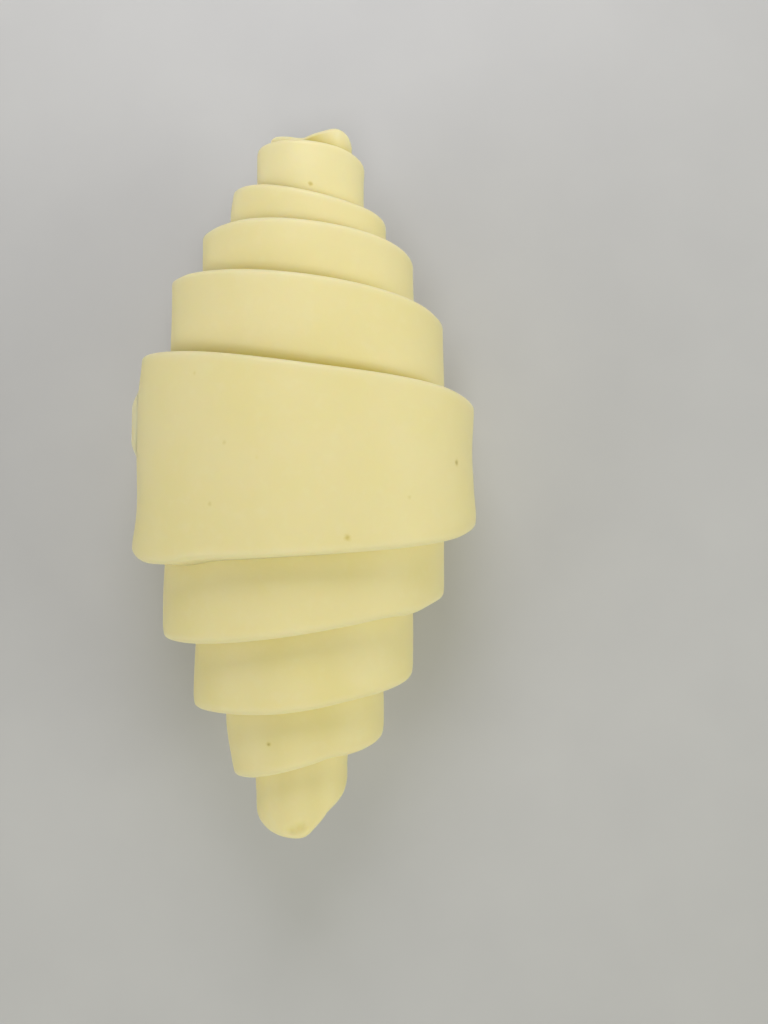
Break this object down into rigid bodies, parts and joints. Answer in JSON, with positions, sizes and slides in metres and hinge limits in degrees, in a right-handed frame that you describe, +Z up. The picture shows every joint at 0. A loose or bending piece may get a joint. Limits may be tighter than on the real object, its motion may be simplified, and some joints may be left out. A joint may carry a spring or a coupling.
{
  "type": "unbaked croissant",
  "caption": "Unbaked croissant: a long triangle of pale laminated dough rolled up from its base into a stepped spindle, its tip tucked under the roll and showing low on one side",
  "frame": {"origin": "under the middle of its box, on the surface that it rests on", "axes": "+Y along the roll towards the end that has come loose, +X towards the side opposite the tucked tip, +Z up"},
  "size_m": [0.0504, 0.0982, 0.038],
  "materials": {
    "raw_dough": null
  },
  "bodies": {
    "root": {"rolled_dough": "raw_dough"}
  },
  "joints": []
}
